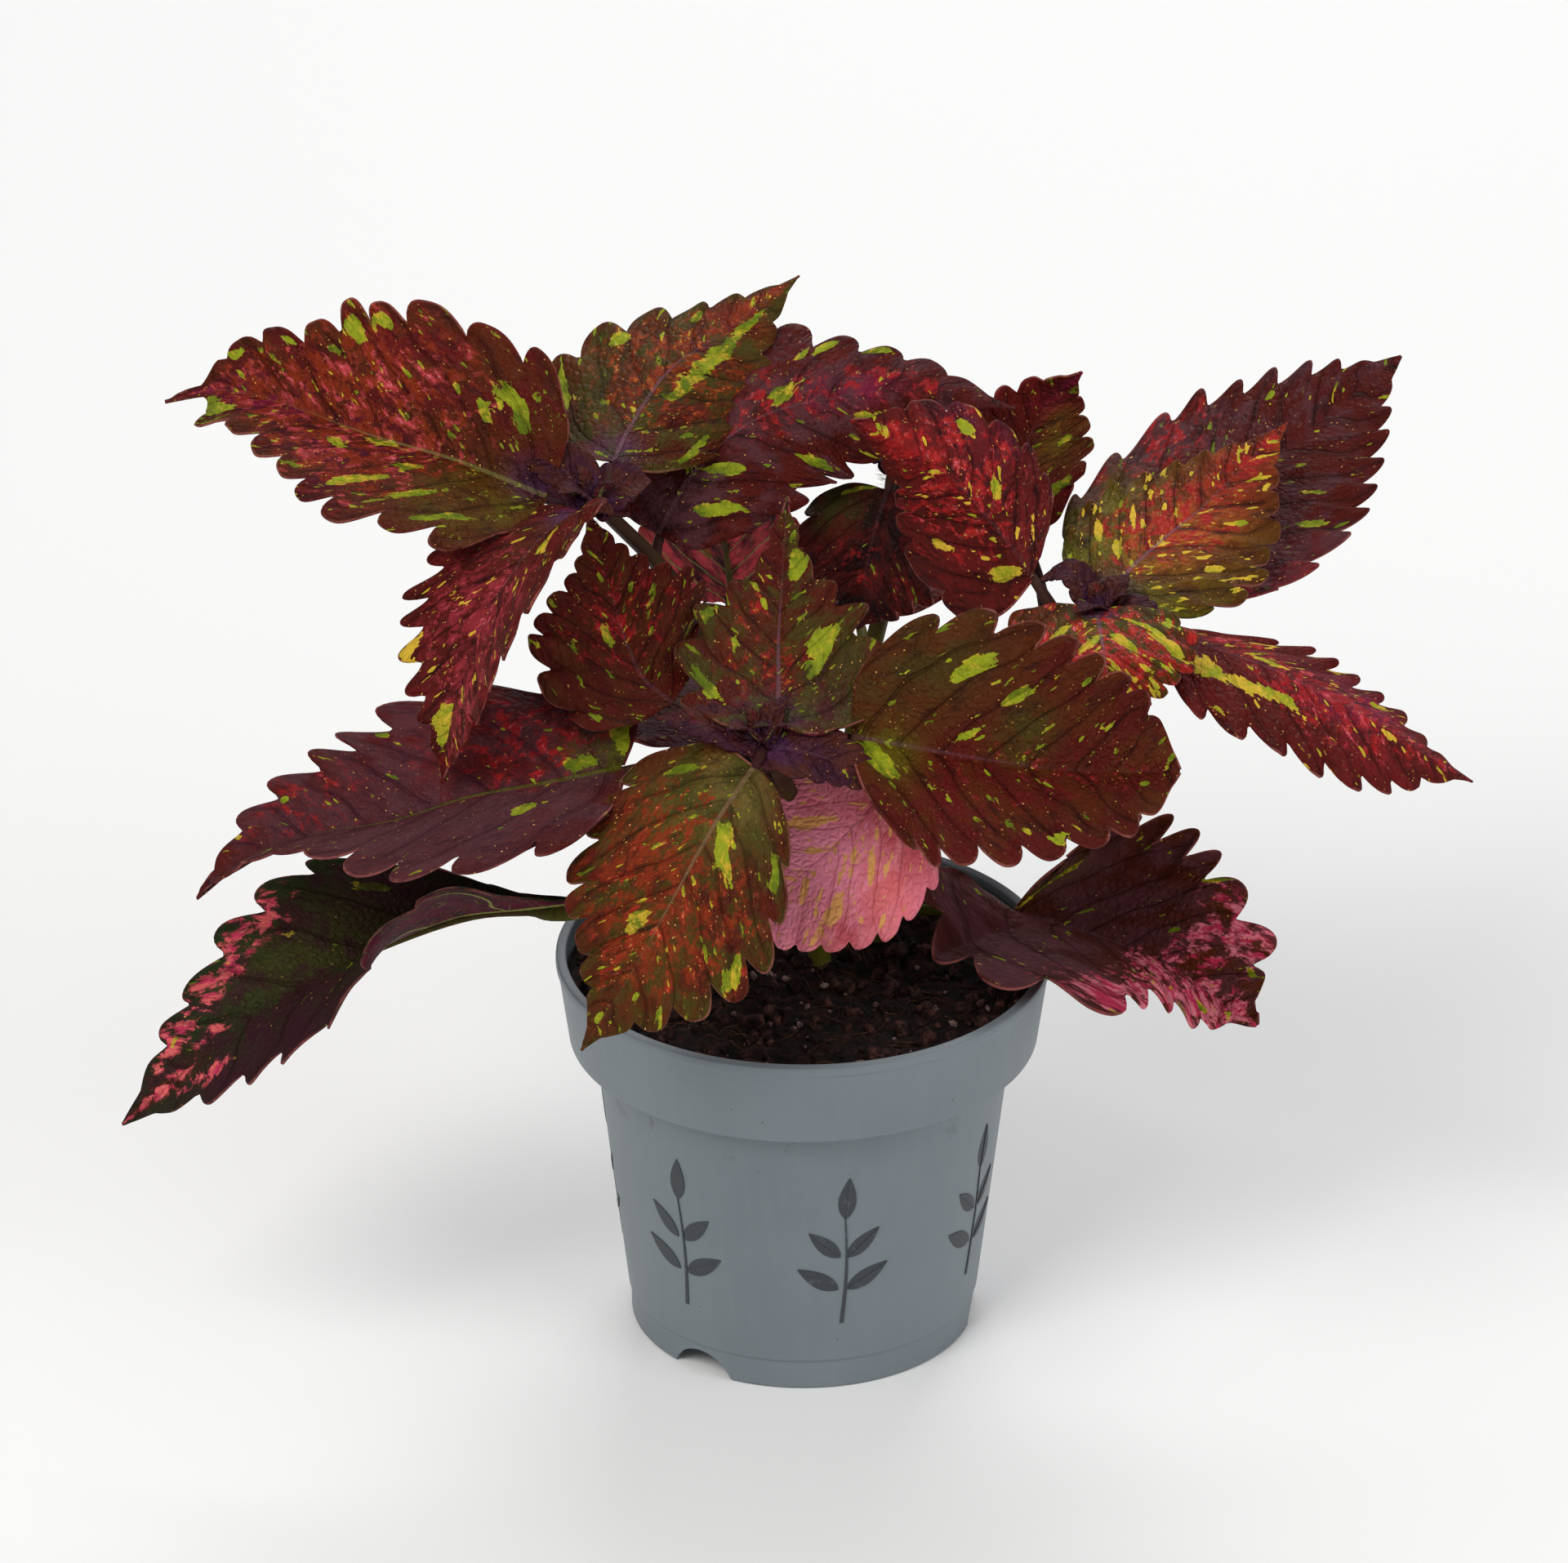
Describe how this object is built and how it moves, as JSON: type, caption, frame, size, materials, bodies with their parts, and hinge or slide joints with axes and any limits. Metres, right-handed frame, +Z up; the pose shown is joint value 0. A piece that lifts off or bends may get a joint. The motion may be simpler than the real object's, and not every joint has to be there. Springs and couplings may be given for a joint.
{
  "type": "potted coleus plant",
  "caption": "Bushy coleus with toothed, variegated leaves on several soft stems, rooted in soil in a tapered plastic grow pot with a deep rim and drainage arches.",
  "frame": {"origin": "middle of the flat pad under the pot's floor, on the surface that the pot stands on", "axes": "+Z up, +X to the right and -Y to the front as the picture shows the plant"},
  "size_m": [0.321, 0.1971, 0.255],
  "materials": {
    "pot": "matte grey-blue injection-moulded plastic",
    "soil": "moist dark potting mix with fibres and perlite",
    "leafy_stem_left": "soft leaves, crimson and maroon splashed with yellow-green",
    "leafy_stem_centre": "soft leaves, maroon and purple splashed with yellow-green and pink",
    "leafy_stem_right": "soft leaves, red and maroon splashed with yellow-green",
    "leafy_stem_back": "soft leaves, near-black maroon"
  },
  "bodies": {
    "root": {"pot": "pot", "soil": "soil", "leafy_stem_left": "leafy_stem_left", "leafy_stem_centre": "leafy_stem_centre", "leafy_stem_right": "leafy_stem_right", "leafy_stem_back": "leafy_stem_back"}
  },
  "joints": []
}
